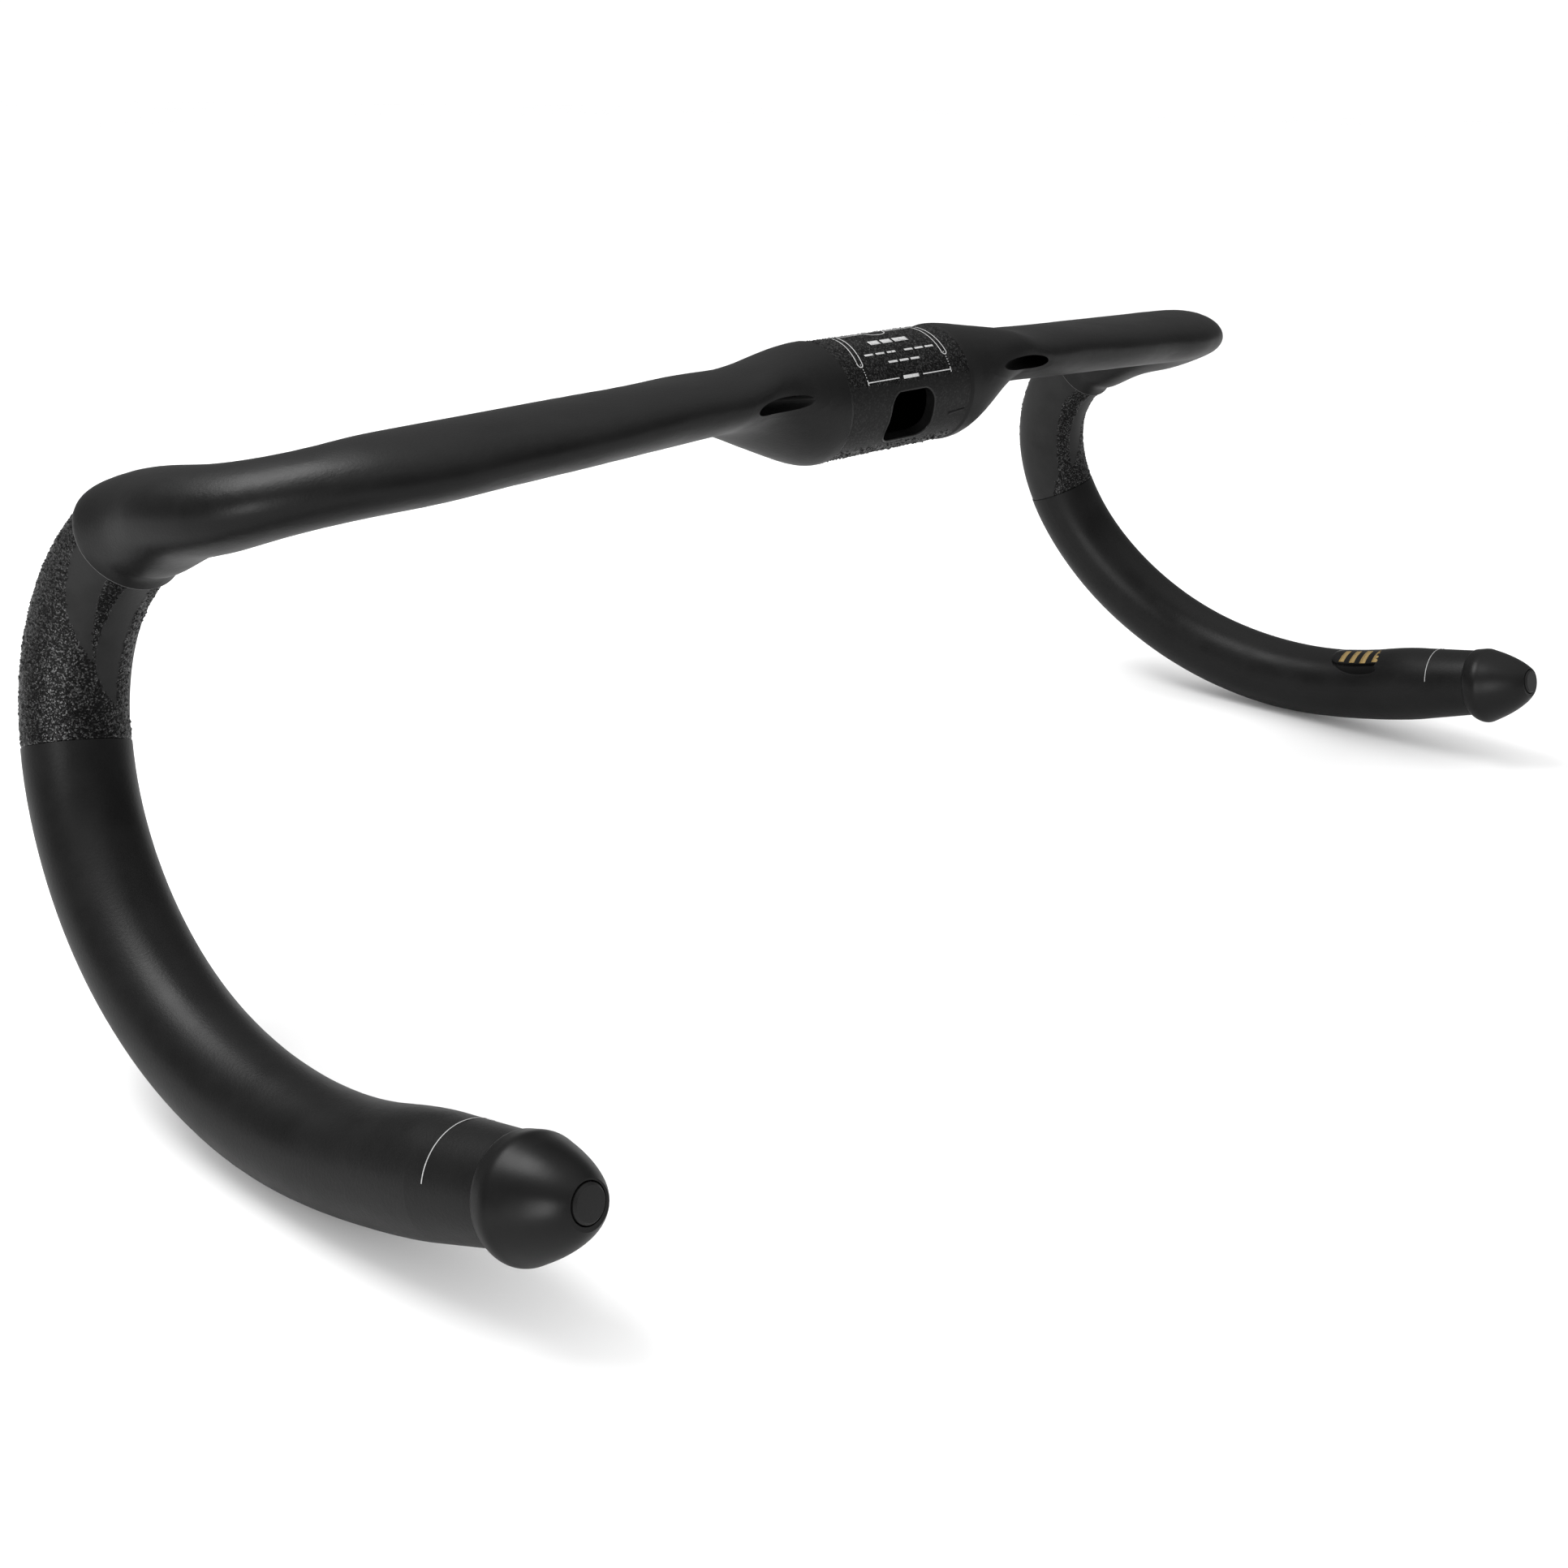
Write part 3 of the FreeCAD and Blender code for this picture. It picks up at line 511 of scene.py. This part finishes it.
def port_outline(steps=10):
    """Rounded trapezoid of the centre port, as (x, up) in mm."""
    corners = [Vector((-PORT_HALF_BOTTOM, -PORT_HALF_RISE)), Vector((PORT_HALF_BOTTOM, -PORT_HALF_RISE)),
               Vector((PORT_HALF_TOP, PORT_HALF_RISE)), Vector((-PORT_HALF_TOP, PORT_HALF_RISE))]
    outline = []
    for number, corner in enumerate(corners):
        back = (corners[number - 1] - corner).normalized()
        ahead = (corners[(number + 1) % 4] - corner).normalized()
        half = back.angle(ahead) / 2
        centre = corner + (back + ahead).normalized() * PORT_CORNER / sin(half)
        first = corner + back * PORT_CORNER / np.tan(half) - centre
        last = corner + ahead * PORT_CORNER / np.tan(half) - centre
        for step in range(steps + 1):
            share = step / steps
            spoke = (first * (1 - share) + last * share).normalized() * PORT_CORNER
            outline.append(tuple(centre + spoke))
    filled = []
    for number, spot in enumerate(outline):
        following = outline[(number + 1) % len(outline)]
        filled += line(spot, following, 3)[:-1]
    return filled


def make_port_lip():
    """Rounded glossy edge of the centre cable port, just under the seat's surface."""
    path = []
    for x, up in port_outline():
        out = sqrt(CLAMP_RADIUS ** 2 - up ** 2) - 0.1
        back = -out * cos(PORT_TILT) - up * sin(PORT_TILT)
        path.append((x, back, -out * sin(PORT_TILT) + up * cos(PORT_TILT)))
    return tube("centre_port_lip", path, 0.28, lip_coat, closed=True)


def make_port_mark():
    """Small dark printed tick beside the centre port."""
    points, faces = [], []

    def place(u, v, height):
        return on_clamp(u, v / CLAMP_RADIUS * 180 / pi, CLAMP_RADIUS + 0.02 + height)

    level = radians(-21) * CLAMP_RADIUS
    ribbon(points, faces, line((16.4, level - 0.4), (23.4, level + 0.1)), 0.9, place)
    return mesh_object("port_side_mark", points, faces, [mark_ink])


# ---------------------------------------------------------------- printed marks on the clamp
PRINT_RADIUS = CLAMP_RADIUS + 0.2


def print_place(u, v, height):
    """u along the bar and v up round the clamp seat, in mm, from straight back."""
    return on_clamp(u, v / CLAMP_RADIUS * 180 / pi, PRINT_RADIUS + height)


def up_round(angle):
    """Distance round the clamp seat up to an angle above straight back."""
    return radians(angle) * CLAMP_RADIUS


def capsule(centre_top, centre_bottom, half):
    """Outline of a long pill, open at its top end, as a path."""
    top, bottom = Vector(centre_top), Vector(centre_bottom)
    along = (bottom - top).normalized()
    across = Vector((-along.y, along.x))
    path = [top + across * half + (bottom - top) * step / 16 for step in range(17)]
    for step in range(1, 12):
        turn = pi * step / 12
        path.append(bottom + across * half * cos(turn) + along * half * sin(turn))
    path += [bottom - across * half + (top - bottom) * step / 16 for step in range(17)]
    return [tuple(spot) for spot in path]


def make_clamp_print():
    """Fit diagram: a bar seen from above with two drops, a width line and plain dashes for its notes."""
    points, faces = [], []

    def stroke(path, width=0.27):
        ribbon(points, faces, path, width, print_place)

    stroke(capsule((-15.6, up_round(87)), (-18.1, up_round(42)), 0.95))
    stroke(capsule((17.2, up_round(88)), (17.0, up_round(42)), 0.95))
    stroke(line((-14.7, up_round(88)), (-3.4, up_round(89)), 16))
    stroke(line((4.4, up_round(89)), (16.3, up_round(89)), 16))
    stroke(line((-16.6, up_round(93)), (18.2, up_round(93)), 30))
    half_turns = [pi + pi * number / 16 for number in range(17)]
    stroke([(0.5 + 3.9 * cos(turn), up_round(89) + 2.4 * sin(turn)) for turn in half_turns])
    for first, last in ((-8.2, -4.2), (-3.2, 0.8), (1.8, 7.4)):
        stroke(line((first, up_round(66)), (last, up_round(66))), 1.7)
    for start in (-14.2, -9.6, -5.0, 2.2, 6.6, 11.0):
        stroke(line((start, up_round(50.5)), (start + 3.4, up_round(50.5))), 0.6)
    for start in (-6.8, -2.2, 2.4):
        stroke(line((start, up_round(39.5)), (start + 3.6, up_round(39.5))), 0.6)
    width_line = up_round(22.5)
    stroke(line((-17.9, width_line), (-5.2, width_line), 16))
    stroke(line((4.8, width_line), (16.8, width_line), 16))
    stroke(line((-3.4, width_line), (3.0, width_line), 8), 0.9)
    for end in (-17.9, 16.8):
        stroke(line((end, width_line - 0.75), (end, width_line + 0.75)))
        for number in range(6):
            level = width_line + 1.3 + 0.75 * number
            stroke(line((end, level), (end, level + 0.3), 2), 0.22)
    return mesh_object("clamp_print", points, faces, [white_ink])


# ---------------------------------------------------------------- badge on the right drop
BADGE_ALONG = 1.5
BADGE_AROUND = 266
BADGE_HALF_LENGTH = 15.2
BADGE_HALF_WIDTH = 10.2
BADGE_HEIGHT = 0.1


def badge_place(u, v, height):
    """u toward the bar end and v round the tube, in mm, from the badge's middle on the tube's top."""
    around = BADGE_AROUND + v / GRIP_RADIUS * 180 / pi
    return on_drop(end_station(BADGE_ALONG + u), around, GRIP_RADIUS + 0.03 + height)


def make_badge():
    """Thin glossy oval."""
    rings, spokes = 14, 72
    points, faces = [badge_place(0, 0, BADGE_HEIGHT)], []
    for ring in range(1, rings + 2):
        share = min(ring, rings) / rings
        height = BADGE_HEIGHT * (1 - share ** 12) if ring <= rings else -0.15
        for number in range(spokes):
            turn = 2 * pi * number / spokes
            along = BADGE_HALF_LENGTH * share * cos(turn)
            points.append(badge_place(along, BADGE_HALF_WIDTH * share * sin(turn), height))
    for number in range(spokes):
        faces.append((0, 1 + number, 1 + (number + 1) % spokes))
    faces += [tuple(index + 1 for index in face) for face in grid_faces(rings + 1, spokes, True)]
    faces = [tuple(reversed(face)) for face in faces]
    return mesh_object("right_drop_badge", points, faces, [badge_gloss])


def make_badge_bars():
    """Plain gold bars across the badge."""
    points, faces = [], []

    def place(u, v, height):
        return badge_place(u, v, height + BADGE_HEIGHT)

    spacing = 4.75
    for number in range(5):
        along = spacing * (number - 2)
        reach = 5.2 - 0.35 * abs(number - 2)
        ribbon(points, faces, line((along, -reach), (along, 2.2), 10), 2.3, place, 0.05)
    return mesh_object("right_badge_bars", points, faces, [gold])


# ---------------------------------------------------------------- put the pieces together
finish_cad()
for side, hand in ((1, "right"), (-1, "left")):
    sleeve = make_lever_coat(side, f"{hand}_lever_grit")
    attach(sleeve, "handlebar")
    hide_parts(f"{hand}_lever_grip_coat")
    # Seam line: a real seam, drawn pale as painted highlight.
    edge = make_seam_edge(side, f"{hand}_seam_edge")
    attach(edge, "handlebar")
    shoulder = make_clamp_shoulder(side, f"{hand}_clamp_shoulder")
    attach(shoulder, "handlebar")
    mark = make_limit_line(side, f"{hand}_limit_line")
    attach(mark, "handlebar")
for piece, finish in ((make_clamp_grit(), "grit"), (make_port_lip(), "carbon"), (make_port_mark(), None),
                      (make_clamp_print(), None), (make_badge(), None), (make_badge_bars(), None)):
    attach(piece, "handlebar")


# ---------------------------------------------------------------- floor, light and camera
def make_floor():
    """Wide pale floor just under the drops; mirrored in the black finishes it is dimmer than it looks."""
    level = (cad_bounds[0][2] - 0.0005) / MM
    count, reach = 64, 9000
    turns = [2 * pi * number / count for number in range(count)]
    points = [(0, 0, level)] + [(reach * cos(turn), reach * sin(turn), level) for turn in turns]
    faces = [(0, 1 + n, 1 + (n + 1) % count) for n in range(count)]
    material, tree, shader = new_material("pale_floor")
    mottle = noise(tree, 3, 3)
    path = tree.nodes.new("ShaderNodeLightPath")
    dimming = tree.nodes.new("ShaderNodeMix")
    dimming.data_type = "FLOAT"
    dimming.inputs["B"].default_value = 0.0
    tree.links.new(path.outputs["Is Glossy Ray"], dimming.inputs["Factor"])
    tree.links.new(ramp(tree, mottle.outputs["Fac"], 0.97, 1.0), dimming.inputs["A"])
    tint(tree, shader, dimming.outputs["Result"], (0.55,) * 3, (0.96,) * 3)
    shader.inputs["Roughness"].default_value = 0.9
    shader.inputs["Specular IOR Level"].default_value = 0.1
    floor = mesh_object("floor", points, faces, [material], smooth=False)


def make_world():
    """White to the camera and to soft light; mirror-like light sees a dark horizon under a bright top."""
    world = bpy.data.worlds.new("studio")
    bpy.context.scene.world = world
    world.use_nodes = True
    tree = world.node_tree
    background = next(node for node in tree.nodes if node.type == "BACKGROUND")
    place = tree.nodes.new("ShaderNodeTexCoord")
    split = tree.nodes.new("ShaderNodeSeparateXYZ")
    tree.links.new(place.outputs["Generated"], split.inputs["Vector"])
    height = ramp(tree, split.outputs["Z"], 0.0, 1.0, 0.45, 1.0)
    curve = tree.nodes.new("ShaderNodeMath")
    curve.operation = "POWER"
    curve.inputs[1].default_value = 1.6
    tree.links.new(height, curve.inputs[0])
    seen = ramp(tree, curve.outputs["Value"], 0.2, 0.9, 0.0, 1.0)
    path = tree.nodes.new("ShaderNodeLightPath")
    choose = tree.nodes.new("ShaderNodeMix")
    choose.data_type = "FLOAT"
    tree.links.new(path.outputs["Is Glossy Ray"], choose.inputs["Factor"])
    choose.inputs["A"].default_value = 1.08
    tree.links.new(seen, choose.inputs["B"])
    tree.links.new(choose.outputs["Result"], background.inputs["Strength"])
    background.inputs["Color"].default_value = (1, 1, 1, 1)


def make_light(name, place, target, power, width, height):
    """Rectangular soft light aimed at a target."""
    data = bpy.data.lights.new(name, "AREA")
    data.shape = "RECTANGLE"
    data.size = width
    data.size_y = height
    data.energy = power
    item = bpy.data.objects.new(name, data)
    direction = Vector(target) - Vector(place)
    item.rotation_euler = direction.to_track_quat("-Z", "Y").to_euler()
    item.location = place
    bpy.context.scene.collection.objects.link(item)


def make_camera():
    """Low three-quarter view from behind the left drop."""
    forward, right = Vector((0.7185, 0.6015, -0.3493)), Vector((0.6460, -0.7632, 0.0147))
    forward.normalize()
    right = (right - forward * right.dot(forward)).normalized()
    up = right.cross(forward)
    data = bpy.data.cameras.new("camera")
    data.sensor_width = 36
    data.lens = 43.54
    data.shift_x = -0.0738
    data.shift_y = -0.01175
    item = bpy.data.objects.new("camera", data)
    turn = Matrix((right, up, -forward)).transposed()
    item.matrix_world = Matrix.Translation(Vector((-0.3984, -0.3463, 0.0866))) @ turn.to_4x4()
    bpy.context.scene.collection.objects.link(item)
    bpy.context.scene.camera = item


bpy.context.scene.view_settings.view_transform = "Standard"
make_floor()
make_world()
make_light("overhead", (-0.35, 0.5, 1.05), (-0.1, 0, -0.05), 9, 0.7, 0.5)
make_light("left_strip", (-1.57, -0.48, 0.17), (-0.19, 0.07, -0.04), 9, 0.25, 0.9)
make_camera()

bpy.context.view_layer.update()
